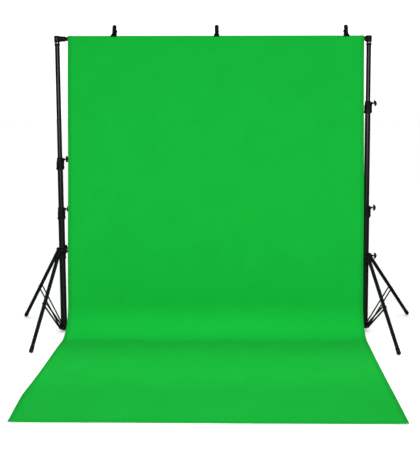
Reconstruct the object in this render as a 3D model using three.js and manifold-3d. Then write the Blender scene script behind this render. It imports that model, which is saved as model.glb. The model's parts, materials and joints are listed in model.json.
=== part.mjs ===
// Backdrop support: two folding light stands, a sectional crossbar, three spring clamps and a cloth.
// Millimetres, +Z up. The assembly is drawn about the point on the floor midway between the two
// stands, then moved so that the origin is the centre of the whole object's footprint.

import * as THREE from 'three';
import { mergeVertices } from 'three/addons/utils/BufferGeometryUtils.js';
import Module from 'manifold-3d';

const wasm = await Module();
wasm.setup();

// ---- Driving dimensions -------------------------------------------------------------------

const STAND_SPACING = 1860;
const BAR_HEIGHT = 1787;
const GAP = 0.3; // running gap between touching pieces
const SLIDE_GAP = 0.35; // radial gap of a casting that slides on a tube

const LOWER_TUBE = { r: 19, wall: 1.5, length: 732 };
const MIDDLE_TUBE = { r: 16.5, wall: 1.3, length: 740 };
const TOP_TUBE = { r: 14, wall: 1.2, length: 780 };

const LEG_LENGTH = 635; // pivot to the centre of the foot's ball
const LEG_R = 11;
const LEG_WALL = 1.3;
const FOOT_R = 13;
const PIVOT_RADIUS = 33; // leg and brace pivots, from the column's axis
const LEG_TO_BRACE = 346; // leg pivot to the rivet that joins the brace
const BRACE_LENGTH = 303; // hub pivot to the same rivet
const STRIP = { thick: 2.2, wide: 12, gap: 0.6 };
const RIVET_R = 3;

const COLLAR_HEIGHT = 74;
const COLLAR_GRIP = 48; // how far a collar reaches down over the tube that it is fixed to
const COLLAR_R = 23.5;
const KNOB_HEIGHT = 61; // knob screw above a collar's foot
const COLLAR_BOSS = 30; // column axis to the end of a collar's knob boss
const YOKE_BOSS = 39; // column axis to the end of a yoke's knob boss

const BAR_R = 12.5;
const BAR_WALL = 1.5;
const BAR_SECTIONS = 4;
const BAR_END = 18.5; // column axis to the bar's end, inside the end fitting
const BAR_PLUG = { r: 10.7, wall: 1.4, length: 34 };
const SOCKET_LENGTH = { left: 47, right: 22 }; // column axis to the mouth of each bar end's socket

const CLOTH = { thick: 1.6, flap: 60, bend: 180, lean: 0.9, sweep: 1359 };
// Side edges of the cloth: distance along it from the bar's crest, and x to the left and right.
const CLOTH_EDGES = [
  { along: 0, left: -863, right: 901 },
  { along: 600, left: -871, right: 904 },
  { along: 1220, left: -886, right: 910 },
  { along: 1700, left: -893, right: 914 },
  { along: 2150, left: -898, right: 911 },
  { along: 2750, left: -910, right: 918 },
  { along: 3110, left: -886, right: 922 },
];
const CLAMP_X = [-592, 22, 797];
const CLAMP_TILT = 40; // degrees back from upright

// The two stands are one product, set up a little differently. spread is the radius of the circle
// that the feet stand on, and upperCollar the height of that collar's foot. Azimuths are in degrees;
// a yoke's knob sits midway between the arm named here and the next one round.
const STANDS = [
  {
    side: 'left',
    x: -STAND_SPACING / 2,
    spread: 428,
    azimuth: { inner: 17, rear: 137, front: 257 },
    yokeArm: 17,
    upperCollar: 1003,
    knobTurn: { lower: 42, upper: 42 },
    wingTurn: { lower: 20, upper: 0, yoke: 0 },
  },
  {
    side: 'right',
    x: STAND_SPACING / 2,
    spread: 470,
    azimuth: { rear: 45.2, inner: 165.2, front: 285.2 },
    yokeArm: 285.2,
    upperCollar: 1342,
    knobTurn: { lower: 0, upper: -35 },
    wingTurn: { lower: 0, upper: 25, yoke: 0 },
  },
];

// ---- Materials ----------------------------------------------------------------------------

function finish(color, roughness, metalness) {
  return () => new THREE.MeshStandardMaterial({ color, roughness, metalness });
}

const blackAnodised = finish(0x141416, 0.38, 0.7);
const blackPlastic = finish(0x101011, 0.55, 0);
const blackSteel = finish(0x17171a, 0.45, 0.6);
const blackRubber = finish(0x0c0c0c, 0.9, 0);
const brightSteel = finish(0xb9bbbf, 0.35, 1);
const greenMuslin = finish(0x18b83c, 0.95, 0);

// ---- Shape helpers ------------------------------------------------------------------------

const radians = THREE.MathUtils.degToRad;

// A solid or a ring of revolution about Z. The profile holds [radius, height] pairs; it starts
// and ends on the axis, or closes on itself.
function turned(profile, segments = 24) {
  const points = profile.map(([r, z]) => new THREE.Vector2(r, z));
  const geometry = new THREE.LatheGeometry(points, segments);
  geometry.rotateX(Math.PI / 2);
  return geometry;
}

function ring(outer, inner, low, high, segments = 24) {
  return turned([[inner, low], [outer, low], [outer, high], [inner, high], [inner, low]], segments);
}

function rod(r, low, high, segments = 12) {
  return turned([[0, low], [r, low], [r, high], [0, high]], segments);
}

function alongX(geometry) {
  return geometry.rotateY(Math.PI / 2);
}

function alongY(geometry) {
  return geometry.rotateX(-Math.PI / 2);
}

function box(x0, x1, y0, y1, z0, z1) {
  const geometry = new THREE.BoxGeometry(x1 - x0, y1 - y0, z1 - z0);
  return geometry.translate((x0 + x1) / 2, (y0 + y1) / 2, (z0 + z1) / 2);
}

// An outline in the XZ plane, given a thickness along Y, centred on y.
function plateXZ(shape, thickness, y = 0, curveSegments = 8) {
  const settings = { depth: thickness, bevelEnabled: false, curveSegments };
  const geometry = new THREE.ExtrudeGeometry(shape, settings);
  geometry.translate(0, 0, -thickness / 2);
  geometry.rotateX(Math.PI / 2);
  return geometry.translate(0, y, 0);
}

function polygon(points) {
  return new THREE.Shape(points.map(([x, y]) => new THREE.Vector2(x, y)));
}

function toSolid(geometry) {
  const bare = geometry.clone();
  bare.deleteAttribute('normal');
  bare.deleteAttribute('uv');
  const merged = mergeVertices(bare, 1e-4);
  return new wasm.Manifold(new wasm.Mesh({
    numProp: 3,
    vertProperties: new Float32Array(merged.attributes.position.array),
    triVerts: new Uint32Array(merged.index.array),
  }));
}

function toGeometry(solid) {
  const mesh = solid.getMesh();
  const geometry = new THREE.BufferGeometry();
  geometry.setAttribute('position', new THREE.BufferAttribute(new Float32Array(mesh.vertProperties), 3));
  geometry.setIndex(new THREE.BufferAttribute(new Uint32Array(mesh.triVerts), 1));
  geometry.computeVertexNormals();
  return geometry;
}

// Joins the first list of geometries and cuts the second from the result.
function carve(added, removed = []) {
  let solid = toSolid(added[0]);
  for (const geometry of added.slice(1)) {
    solid = solid.add(toSolid(geometry));
  }
  for (const geometry of removed) {
    solid = solid.subtract(toSolid(geometry));
  }
  return toGeometry(solid);
}

function mesh(name, geometry, material) {
  const piece = new THREE.Mesh(geometry, material());
  piece.name = name;
  return piece;
}

function placed(object, { x = 0, y = 0, z = 0, azimuth = 0 }) {
  object.position.set(x, y, z);
  object.rotation.z = radians(azimuth);
  return object;
}

// ---- Column: three telescoping tubes ---------------------------------------------------------

function columnTube({ r, wall }, low, high) {
  return ring(r, r - wall, low, high);
}

// The top tube wears a ferrule round its upper end.
function topTube() {
  const { r, wall, length } = TOP_TUBE;
  const bore = r - wall;
  const ferrule = { r: r + 2, height: 15, slope: 2, chamfer: 1.5 };
  return turned([
    [bore, -length],
    [r, -length],
    [r, -ferrule.height],
    [ferrule.r, -ferrule.height + ferrule.slope],
    [ferrule.r, -ferrule.chamfer],
    [ferrule.r - ferrule.chamfer, 0],
    [bore, 0],
    [bore, -length],
  ]);
}

// A clamping collar, fixed on the outer tube and closing on the inner one. Its foot is at z = 0
// and its knob boss points along +X.
function sectionCollar(outerTube, innerTube) {
  const neck = innerTube.r + 4;
  const waist = COLLAR_R - 1.5;
  const body = turned([
    [0, 0],
    [COLLAR_R - 1, 0],
    [COLLAR_R, 2],
    [COLLAR_R, 12],
    [waist, 15],
    [waist, COLLAR_GRIP - 5],
    [waist - 1.5, COLLAR_GRIP],
    [neck, COLLAR_HEIGHT - 4],
    [neck - 1.5, COLLAR_HEIGHT],
    [0, COLLAR_HEIGHT],
  ], 18);
  const rootX = 10; // the bosses start inside the wall
  const screwZ = 12;
  const knobBoss = alongX(rod(8.5, rootX, COLLAR_BOSS)).translate(0, 0, KNOB_HEIGHT);
  const web = box(rootX, COLLAR_R + 3, -3.5, 3.5, 10, KNOB_HEIGHT);
  const screwBoss = alongX(rod(6, rootX, COLLAR_R + 4.5, 10)).translate(0, 0, screwZ);
  const outerBore = rod(outerTube.r + GAP, -1, COLLAR_GRIP, 24);
  const innerBore = rod(innerTube.r + SLIDE_GAP, -1, COLLAR_HEIGHT + 1, 24);
  const knobBore = alongX(rod(RIVET_R + GAP, 5, COLLAR_BOSS + 1, 8)).translate(0, 0, KNOB_HEIGHT);
  return carve([body, knobBoss, web, screwBoss], [outerBore, innerBore, knobBore]);
}

// A wing knob on its screw, along +X from the column's axis. The screw stops short of the tube.
function wingKnob(screwTip, bossEnd) {
  const screw = alongX(rod(RIVET_R, screwTip, bossEnd + 4, 8));
  const near = bossEnd + GAP + 1;
  const far = bossEnd + 20;
  const shank = alongX(turned([[0, near], [5.5, near], [4.2, bossEnd + 8], [5.2, far], [0, far]], 8));
  const wing = new THREE.Shape();
  wing.absarc(bossEnd + 5, 0, 22.5, radians(-62), radians(62), false);
  wing.absarc(bossEnd - 1, 0, 19.5, radians(60), radians(-60), true);
  const wingThickness = 9;
  return carve([screw, shank, plateXZ(wing, wingThickness, 0, 6)]);
}

// ---- Sliding yoke, fixed hub, legs and braces ------------------------------------------------

const EAR_IN = LEG_R + 0.4;
const EAR_OUT = EAR_IN + 4;
const YOKE_R = PIVOT_RADIUS - LEG_R - 0.5;
const YOKE_LOW = -57;
const YOKE_HIGH = 12;
const HUB_R = 22;
const HUB_LOW = -17;
const HUB_HIGH = 20;
const HUB_FLOOR = 4; // the hub's closed end, under the tube
const ARMS = [0, 120, 240];

function around(geometry, azimuth) {
  return geometry.clone().rotateZ(radians(azimuth));
}

// Both castings are drawn with their pivots at z = 0 and their first arm along +X.
function legYoke() {
  const rim = YOKE_R + 1.5;
  const sleeve = turned([
    [0, YOKE_LOW],
    [rim - 3, YOKE_LOW],
    [rim, YOKE_LOW + 3],
    [rim, YOKE_LOW + 12],
    [YOKE_R, YOKE_LOW + 16],
    [YOKE_R, YOKE_HIGH - 2],
    [YOKE_R - 1.5, YOKE_HIGH],
    [0, YOKE_HIGH],
  ], 18);
  const earShape = polygon([
    [14, -24],
    [24, -22],
    [PIVOT_RADIUS + 7, -8],
    [PIVOT_RADIUS + 9, 0],
    [PIVOT_RADIUS + 6, 7],
    [14, 10],
  ]);
  const added = [sleeve];
  const removed = [rod(LOWER_TUBE.r + SLIDE_GAP, YOKE_LOW - 1, YOKE_HIGH + 1, 24)];
  for (const azimuth of ARMS) {
    for (const side of [-1, 1]) {
      const ear = plateXZ(earShape, EAR_OUT - EAR_IN, side * (EAR_IN + EAR_OUT) / 2);
      added.push(around(ear, azimuth));
    }
    const pivot = alongY(rod(RIVET_R + GAP, -EAR_OUT - 1, EAR_OUT + 1, 8)).translate(PIVOT_RADIUS, 0, 0);
    removed.push(around(pivot, azimuth));
  }
  const knobAzimuth = ARMS[1] / 2;
  added.push(around(alongX(rod(9, 12, YOKE_BOSS)), knobAzimuth));
  removed.push(around(alongX(rod(RIVET_R + GAP, 5, YOKE_BOSS + 1, 8)), knobAzimuth));
  return carve(added, removed);
}

function braceHub() {
  const sleeve = turned([
    [0, HUB_LOW],
    [HUB_R - 2, HUB_LOW],
    [HUB_R, HUB_LOW + 2],
    [HUB_R, HUB_HIGH - 2],
    [HUB_R - 1.5, HUB_HIGH],
    [0, HUB_HIGH],
  ], 18);
  const armShape = polygon([
    [14, -15],
    [26, -14],
    [PIVOT_RADIUS + 6, -6],
    [PIVOT_RADIUS + 7, 0],
    [PIVOT_RADIUS + 5, 6],
    [26, 12],
    [14, 14],
  ]);
  const added = [sleeve];
  const removed = [rod(LOWER_TUBE.r + GAP, HUB_LOW + HUB_FLOOR, HUB_HIGH + 1, 24)];
  for (const azimuth of ARMS) {
    added.push(around(plateXZ(armShape, 2 * LEG_R), azimuth));
    const pivot = alongY(rod(RIVET_R + GAP, -LEG_R - 1, LEG_R + 1, 8)).translate(PIVOT_RADIUS, 0, 0);
    removed.push(around(pivot, azimuth));
  }
  return carve(added, removed);
}

// A leg hangs from its pivot at the origin, along -Z, with its rivet along Y.
function tripodLeg() {
  const tube = ring(LEG_R, LEG_R - LEG_WALL, -LEG_LENGTH + 1.5, -12, 14);
  const head = alongY(rod(LEG_R - 0.2, -LEG_R, LEG_R, 14));
  const neck = rod(LEG_R, -20, -4, 14);
  const rivet = alongY(rod(RIVET_R, -EAR_OUT - 1.5, EAR_OUT + 1.5, 8));
  const headCaps = [-1, 1].map((side) =>
    alongY(rod(5.5, EAR_OUT + GAP, EAR_OUT + 2.3, 8)).rotateZ(side > 0 ? 0 : Math.PI));
  return carve([tube, neck, head, rivet, ...headCaps]);
}

function rubberFoot() {
  const steps = 4;
  const ball = [];
  for (let i = 0; i <= steps; i += 1) {
    const angle = (i / steps) * Math.PI / 2;
    ball.push([FOOT_R * Math.sin(angle), -FOOT_R * Math.cos(angle)]);
  }
  ball[0][0] = 0;
  const bore = LEG_R + GAP;
  const cup = FOOT_R - 0.8;
  const cupHeight = 28;
  const boreFloor = 1.2;
  const wall = [[FOOT_R, 8], [cup, 10], [cup, cupHeight], [bore, cupHeight]];
  return turned([...ball, ...wall, [bore, boreFloor], [0, boreFloor]], 14);
}

// A brace rises from its hub pivot at the origin, along +Z: two strips either side of the leg,
// joined by the rivet through the hub's arm.
function braceStrips() {
  const inner = LEG_R + STRIP.gap;
  const half = STRIP.wide / 2;
  const outline = new THREE.Shape();
  const shoulder = 18; // the strip's wider foot tapers in up to here
  outline.absarc(0, 0, half + 1.5, Math.PI, 2 * Math.PI, false);
  outline.lineTo(half, shoulder);
  outline.lineTo(half, BRACE_LENGTH);
  outline.absarc(0, BRACE_LENGTH, half, 0, Math.PI, false);
  outline.lineTo(-half, shoulder);
  const middle = inner + STRIP.thick / 2;
  const strips = [-1, 1].map((side) => plateXZ(outline, STRIP.thick, side * middle, 4));
  const rivetEnd = inner + STRIP.thick + 1.6;
  const rivet = alongY(rod(RIVET_R, -rivetEnd, rivetEnd, 8));
  return carve([...strips, rivet]);
}

// ---- Stand ---------------------------------------------------------------------------------

const TOP_OF_COLUMN = BAR_HEIGHT - 26;
const SPIGOT_FLANGE = 6;
const SPIGOT_R = 8;
const SEAT = 0.5; // how far a tube's end stands below the step in its collar

// A plug down inside the top tube, a flange that sits on the tube's end, and the spigot above it.
function topSpigot() {
  const plug = TOP_TUBE.r - TOP_TUBE.wall - GAP;
  const plugDepth = -24;
  const flangeR = 13;
  const tip = 41;
  return turned([
    [0, plugDepth],
    [plug, plugDepth],
    [plug, GAP],
    [flangeR, GAP],
    [flangeR, SPIGOT_FLANGE - 1],
    [flangeR - 1, SPIGOT_FLANGE],
    [SPIGOT_R, SPIGOT_FLANGE],
    [SPIGOT_R, tip - 3],
    [SPIGOT_R - 1.5, tip],
    [0, tip],
  ], 16);
}

function lightStand({ side, x, spread, azimuth, yokeArm, upperCollar, knobTurn, wingTurn }) {
  const legAngle = Math.asin((spread - PIVOT_RADIUS) / LEG_LENGTH);
  const braceAngle = Math.asin(LEG_TO_BRACE * Math.sin(legAngle) / BRACE_LENGTH);
  const yokeZ = FOOT_R + LEG_LENGTH * Math.cos(legAngle);
  const hubZ = yokeZ - LEG_TO_BRACE * Math.cos(legAngle) - BRACE_LENGTH * Math.cos(braceAngle);
  const columnFoot = hubZ + HUB_LOW + HUB_FLOOR + SEAT;
  const lowerCollar = columnFoot + LOWER_TUBE.length - COLLAR_GRIP + SEAT;
  const middleTop = upperCollar + COLLAR_GRIP - SEAT;

  const stand = new THREE.Group();
  const add = (name, geometry, material, place) => {
    stand.add(placed(mesh(`${side}_${name}`, geometry, material), place));
  };

  add('lower_tube', columnTube(LOWER_TUBE, 0, LOWER_TUBE.length), blackAnodised, { z: columnFoot });
  add('middle_tube', columnTube(MIDDLE_TUBE, -MIDDLE_TUBE.length, 0), blackAnodised, { z: middleTop });
  add('top_tube', topTube(), blackAnodised, { z: TOP_OF_COLUMN });
  add('spigot', topSpigot(), brightSteel, { z: TOP_OF_COLUMN });

  add('lower_collar', sectionCollar(LOWER_TUBE, MIDDLE_TUBE), blackPlastic,
    { z: lowerCollar, azimuth: knobTurn.lower });
  add('upper_collar', sectionCollar(MIDDLE_TUBE, TOP_TUBE), blackPlastic,
    { z: upperCollar, azimuth: knobTurn.upper });
  const lowerKnob = wingKnob(MIDDLE_TUBE.r + 1, COLLAR_BOSS).rotateX(radians(wingTurn.lower));
  const upperKnob = wingKnob(TOP_TUBE.r + 1, COLLAR_BOSS).rotateX(radians(wingTurn.upper));
  add('lower_knob', lowerKnob, blackPlastic, { z: lowerCollar + KNOB_HEIGHT, azimuth: knobTurn.lower });
  add('upper_knob', upperKnob, blackPlastic, { z: upperCollar + KNOB_HEIGHT, azimuth: knobTurn.upper });

  add('leg_yoke', legYoke(), blackPlastic, { z: yokeZ, azimuth: yokeArm });
  const yokeKnob = wingKnob(LOWER_TUBE.r + 1, YOKE_BOSS).rotateX(radians(wingTurn.yoke));
  add('yoke_knob', yokeKnob, blackPlastic, { z: yokeZ, azimuth: yokeArm + ARMS[1] / 2 });
  add('brace_hub', braceHub(), blackPlastic, { z: hubZ, azimuth: yokeArm });

  for (const [which, turn] of Object.entries(azimuth)) {
    const radialX = PIVOT_RADIUS * Math.cos(radians(turn));
    const radialY = PIVOT_RADIUS * Math.sin(radians(turn));
    add(`${which}_leg`, tripodLeg().rotateY(-legAngle), blackAnodised,
      { x: radialX, y: radialY, z: yokeZ, azimuth: turn });
    add(`${which}_foot`, rubberFoot().translate(0, 0, -LEG_LENGTH).rotateY(-legAngle), blackRubber,
      { x: radialX, y: radialY, z: yokeZ, azimuth: turn });
    add(`${which}_brace`, braceStrips().rotateY(braceAngle), blackSteel,
      { x: radialX, y: radialY, z: hubZ, azimuth: turn });
  }
  return placed(stand, { x });
}

// ---- Crossbar --------------------------------------------------------------------------------

// Drops over the stand's spigot; its socket opens along +X.
function endFitting(mouth) {
  const low = TOP_OF_COLUMN + SPIGOT_FLANGE + GAP - BAR_HEIGHT;
  const high = 19;
  const bossR = 17.5;
  const boss = turned([
    [0, low],
    [bossR - 1, low],
    [bossR, low + 2],
    [bossR, high - 3],
    [bossR - 2.5, high],
    [0, high],
  ], 18);
  const socketR = BAR_R + 2.6;
  const lipR = socketR + 1.4;
  const root = 4; // the socket starts inside the boss
  const socket = alongX(turned([
    [0, root],
    [bossR - 0.5, root],
    [socketR, mouth - 7],
    [lipR, mouth - 6],
    [lipR, mouth - 1.5],
    [lipR - 1, mouth],
    [0, mouth],
  ], 18));
  const spigotBore = rod(SPIGOT_R + GAP, low - 1, high - 3, 16);
  const barBore = alongX(rod(BAR_R + GAP, BAR_END - GAP, mouth + 1, 18));
  return carve([boss, socket], [spigotBore, barBore]);
}

// A length of bar from x = 0, with a reduced plug at its far end for the next length.
function barSection(length, hasPlug) {
  const bore = BAR_PLUG.r - BAR_PLUG.wall;
  const socketBore = BAR_R - BAR_WALL;
  const socketDepth = BAR_PLUG.length + 4;
  const plugRoot = 8; // how far the plug's bore runs back into the section
  const profile = [[socketBore, 0], [BAR_R, 0], [BAR_R, length - GAP]];
  if (hasPlug) {
    profile.push([BAR_PLUG.r, length - GAP], [BAR_PLUG.r, length + BAR_PLUG.length]);
    profile.push([bore, length + BAR_PLUG.length], [bore, length - plugRoot]);
    profile.push([socketBore, length - plugRoot]);
  } else {
    profile.push([socketBore, length - GAP]);
  }
  profile.push([socketBore, socketDepth], [socketBore, 0]);
  return alongX(turned(profile, 18));
}

function crossbar() {
  const bar = new THREE.Group();
  const start = -STAND_SPACING / 2 + BAR_END;
  const length = (STAND_SPACING - 2 * BAR_END) / BAR_SECTIONS;
  for (let i = 0; i < BAR_SECTIONS; i += 1) {
    const shape = barSection(length, i < BAR_SECTIONS - 1);
    const section = mesh(`crossbar_section_${i + 1}`, shape, blackAnodised);
    bar.add(placed(section, { x: start + i * length, z: BAR_HEIGHT }));
  }
  bar.add(placed(mesh('left_bar_end', endFitting(SOCKET_LENGTH.left), blackPlastic),
    { x: -STAND_SPACING / 2, z: BAR_HEIGHT }));
  bar.add(placed(mesh('right_bar_end', endFitting(SOCKET_LENGTH.right), blackPlastic),
    { x: STAND_SPACING / 2, z: BAR_HEIGHT, azimuth: 180 }));
  return bar;
}

// ---- Spring clamps ----------------------------------------------------------------------------

// pivot is its distance from the bar's centre, handle the length above it, and pinHalf half the
// distance between the pin's heads.
const CLAMP = {
  pivot: 33,
  handle: 60,
  lug: { thick: 3, front: 7.5, rear: 11.2 },
  grip: { front: 15.2, rear: 18.5 },
  pinR: 2,
  pinHalf: 15,
};

// Seen from the front: two-lobed jaw, narrow waist at the pivot, rounded handle.
function clampOutline() {
  const handleR = 12;
  const outline = new THREE.Shape();
  outline.moveTo(-17, -CLAMP.pivot);
  outline.lineTo(-5, -CLAMP.pivot);
  outline.lineTo(0, -CLAMP.pivot + 14);
  outline.lineTo(5, -CLAMP.pivot);
  outline.lineTo(17, -CLAMP.pivot);
  outline.lineTo(16, -12);
  outline.lineTo(11, 4);
  outline.lineTo(handleR, CLAMP.handle - handleR);
  outline.absarc(0, CLAMP.handle - handleR, handleR, 0, Math.PI, false);
  outline.lineTo(-11, 4);
  outline.lineTo(-16, -12);
  outline.closePath();
  return outline;
}

// An arm in the clamp's own frame: X across the jaws, Z towards the handles, the pivot at the
// origin. The arm lies on the +X side, with its two lugs at the given distance from the middle
// and the tip of its jaw at the given distance from the bar's centre.
function clampArm(lugInner, grip) {
  const jaw = -CLAMP.pivot + 2;
  const elbow = 0.65 * CLAMP.handle;
  const side = polygon([
    [grip, jaw],
    [grip + 5, jaw + 1],
    [grip + 4, jaw + 14],
    [12.5, -8],
    [11.5, 4],
    [19.5, elbow],
    [24, CLAMP.handle - 2],
    [20.5, CLAMP.handle + 1],
    [15.5, elbow],
    [8, 8],
    [7.5, -6],
    [11.5, jaw + 13],
  ]);
  const seenFromTheFront = plateXZ(clampOutline(), 60, 0, 5).rotateZ(Math.PI / 2);
  const body = toSolid(plateXZ(side, 40)).intersect(toSolid(seenFromTheFront));
  const lugOuter = lugInner + CLAMP.lug.thick;
  const lug = polygon([[9, -8], [9, 8], [0, 6], [-5, 3], [-5, -3], [0, -6]]);
  const lugs = [-1, 1].map((face) =>
    plateXZ(lug, CLAMP.lug.thick, face * (lugInner + lugOuter) / 2));
  const bridge = box(7.6, 11.5, -lugOuter, lugOuter, -7, 7);
  const pinBore = alongY(rod(CLAMP.pinR + GAP, -20, 20, 8));
  return carve([toGeometry(body), ...lugs, bridge], [pinBore]);
}

function clampPin() {
  const half = CLAMP.pinHalf;
  const end = half + 2;
  const headR = 4;
  return alongY(turned([
    [0, -end],
    [headR, -end],
    [headR, -half],
    [CLAMP.pinR, -half],
    [CLAMP.pinR, half],
    [headR, half],
    [headR, end],
    [0, end],
  ], 10));
}

function springClamp(index, x) {
  const clamp = new THREE.Group();
  const front = clampArm(CLAMP.lug.front, CLAMP.grip.front).rotateZ(Math.PI);
  const rear = clampArm(CLAMP.lug.rear, CLAMP.grip.rear);
  const parts = [
    mesh(`clamp_${index}_front_arm`, front, blackPlastic),
    mesh(`clamp_${index}_rear_arm`, rear, blackPlastic),
    mesh(`clamp_${index}_pin`, clampPin(), brightSteel),
  ];
  for (const part of parts) {
    part.position.z = CLAMP.pivot;
    clamp.add(part);
  }
  // Jaws across Y, handles up, leaning back over the bar.
  clamp.rotation.set(radians(-CLAMP_TILT), 0, Math.PI / 2, 'XYZ');
  clamp.position.set(x, 0, BAR_HEIGHT);
  return clamp;
}

// ---- Cloth ------------------------------------------------------------------------------------

// Centre line of the cloth in the YZ plane: up the rear flap, over the bar, down with a slight
// forward lean, round onto the floor and forward.
function clothPath() {
  const over = BAR_R + GAP + CLOTH.thick / 2;
  const floor = CLOTH.thick / 2 + GAP;
  const lean = radians(CLOTH.lean);
  const path = [{ y: over, z: BAR_HEIGHT - CLOTH.flap }];
  const arc = (y, z, r, from, to, steps) => {
    for (let i = 0; i <= steps; i += 1) {
      const angle = from + (to - from) * i / steps;
      path.push({ y: y + r * Math.cos(angle), z: z + r * Math.sin(angle) });
    }
  };
  arc(0, BAR_HEIGHT, over, 0, Math.PI - lean, 12);
  const bendZ = floor + CLOTH.bend;
  const leave = path.at(-1);
  const bendY = leave.y - (leave.z - bendZ) * Math.tan(lean) - CLOTH.bend;
  arc(bendY, bendZ, CLOTH.bend, -lean, -Math.PI / 2, 9);
  for (const part of [1 / 3, 2 / 3, 1]) {
    path.push({ y: bendY + (-CLOTH.sweep - bendY) * part, z: floor });
  }
  return path;
}

function edgeAt(side, along) {
  const next = CLOTH_EDGES.find((edge) => edge.along >= along) ?? CLOTH_EDGES.at(-1);
  const last = CLOTH_EDGES[Math.max(CLOTH_EDGES.indexOf(next) - 1, 0)];
  const share = next === last ? 0 : (along - last.along) / (next.along - last.along);
  return last[side] + (next[side] - last[side]) * share;
}

function backdropCloth() {
  const path = clothPath();
  const crest = CLOTH.flap + (Math.PI / 2) * (BAR_R + GAP);
  const half = CLOTH.thick / 2;
  const corners = [];
  let along = -crest;
  path.forEach((point, i) => {
    const before = path[Math.max(i - 1, 0)];
    const after = path[Math.min(i + 1, path.length - 1)];
    const length = Math.hypot(after.y - before.y, after.z - before.z);
    const ny = half * (after.z - before.z) / length;
    const nz = -half * (after.y - before.y) / length;
    along += i === 0 ? 0 : Math.hypot(point.y - before.y, point.z - before.z);
    const left = edgeAt('left', Math.max(along, 0));
    const right = edgeAt('right', Math.max(along, 0));
    corners.push(left, point.y + ny, point.z + nz, right, point.y + ny, point.z + nz);
    corners.push(right, point.y - ny, point.z - nz, left, point.y - ny, point.z - nz);
  });
  const faces = [0, 1, 2, 0, 2, 3];
  for (let i = 0; i < path.length - 1; i += 1) {
    for (let k = 0; k < 4; k += 1) {
      const a = 4 * i + k;
      const b = 4 * i + (k + 1) % 4;
      faces.push(a, a + 4, b, b, a + 4, b + 4);
    }
  }
  const end = 4 * (path.length - 1);
  faces.push(end, end + 2, end + 1, end, end + 3, end + 2);
  const geometry = new THREE.BufferGeometry();
  geometry.setAttribute('position', new THREE.Float32BufferAttribute(corners, 3));
  geometry.setIndex(faces);
  const faceted = geometry.toNonIndexed();
  faceted.computeVertexNormals();
  return faceted;
}

// ---- Assembly ----------------------------------------------------------------------------------

const assembly = new THREE.Group();
for (const stand of STANDS) {
  assembly.add(lightStand(stand));
}
assembly.add(crossbar());
CLAMP_X.forEach((x, i) => assembly.add(springClamp(i + 1, x)));
assembly.add(mesh('backdrop_cloth', backdropCloth(), greenMuslin));

// Centre the footprint on the origin.
const extent = new THREE.Box3().setFromObject(assembly, true);
assembly.position.set(-(extent.min.x + extent.max.x) / 2, -(extent.min.y + extent.max.y) / 2, 0);

export default assembly;
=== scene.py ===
"""Looks for the backdrop support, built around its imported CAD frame.

Shapes are drawn in millimetres in a local frame and placed in metres in the frame's own axes:
+X along the crossbar, +Y to the rear, +Z up.
"""
import json
import math

import bmesh
import bpy
import numpy as np
from mathutils import Matrix, Vector

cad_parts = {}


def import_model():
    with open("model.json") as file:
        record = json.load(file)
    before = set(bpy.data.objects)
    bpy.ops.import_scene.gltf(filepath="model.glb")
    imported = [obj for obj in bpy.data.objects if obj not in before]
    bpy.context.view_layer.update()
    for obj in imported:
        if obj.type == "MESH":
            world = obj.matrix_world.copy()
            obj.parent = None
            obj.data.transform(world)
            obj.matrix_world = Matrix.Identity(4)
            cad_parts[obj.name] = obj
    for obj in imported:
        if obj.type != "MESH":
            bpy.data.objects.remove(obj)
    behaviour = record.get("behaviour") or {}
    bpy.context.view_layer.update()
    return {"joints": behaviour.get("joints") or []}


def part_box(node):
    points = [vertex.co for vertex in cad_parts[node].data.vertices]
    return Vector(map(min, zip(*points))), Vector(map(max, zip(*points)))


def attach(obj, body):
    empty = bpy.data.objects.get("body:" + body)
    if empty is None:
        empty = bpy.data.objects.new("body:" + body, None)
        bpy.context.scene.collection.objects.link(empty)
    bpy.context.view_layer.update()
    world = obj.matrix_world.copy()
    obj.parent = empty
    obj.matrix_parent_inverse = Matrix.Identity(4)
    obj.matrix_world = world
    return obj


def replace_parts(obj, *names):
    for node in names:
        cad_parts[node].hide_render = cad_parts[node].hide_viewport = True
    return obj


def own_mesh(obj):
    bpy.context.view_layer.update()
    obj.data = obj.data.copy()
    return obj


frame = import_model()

JOINTS = {joint["name"]: joint for joint in frame["joints"]}
MM = 0.001
# Metres, midway between the two columns.
CENTRE_X = (JOINTS["left_top_slide"]["pos_m"][0] + JOINTS["right_top_slide"]["pos_m"][0]) / 2

# ---- Dimensions shared with the CAD solids, in millimetres ----

LOWER_TUBE = (19.0, 1.5)  # outer radius and wall
MIDDLE_TUBE = (16.5, 1.3)
TOP_TUBE = (14.0, 1.2)
GAP = 0.3  # between fixed pieces
SLIDE_GAP = 0.35  # between a casting and a tube that slides in it
LEG_R, LEG_WALL, LEG_LENGTH, FOOT_R = 11.0, 1.3, 635.0, 13.0
PIVOT_RADIUS = 33.0  # leg and brace pivots, from the column's axis
LEG_TO_BRACE = 346.0  # leg pivot to the rivet that joins the brace
FOLDED_LEG = 3.0  # degrees between the column and a folded leg
BRACE_LENGTH, STRIP_GAP, STRIP_THICK, STRIP_WIDE = 303.0, 0.6, 2.2, 12.0
EAR_IN, EAR_OUT = 11.4, 15.4
YOKE_LOW, YOKE_HIGH, YOKE_R = -57.0, 12.0, 21.5
HUB_LOW, HUB_HIGH, HUB_R = -17.0, 20.0, 22.0
COLLAR_HEIGHT, COLLAR_GRIP, COLLAR_R = 74.0, 48.0, 23.5
KNOB_HEIGHT, COLLAR_BOSS, YOKE_BOSS = 61.0, 30.0, 39.0
ARMS, YOKE_KNOB = (0, 120, 240), 60  # degrees round the yoke from its first arm
BAR_R, BAR_WALL, BAR_SECTIONS = 12.5, 1.5, 4
PLUG_R, PLUG_BORE, PLUG_LENGTH = 10.7, 9.3, 34.0
SOCKET_MOUTH = {"left": 47.0, "right": 22.0}  # from the column's axis
CLAMP_TILT, CLAMP_HANDLE = 40.0, 60.0
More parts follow.
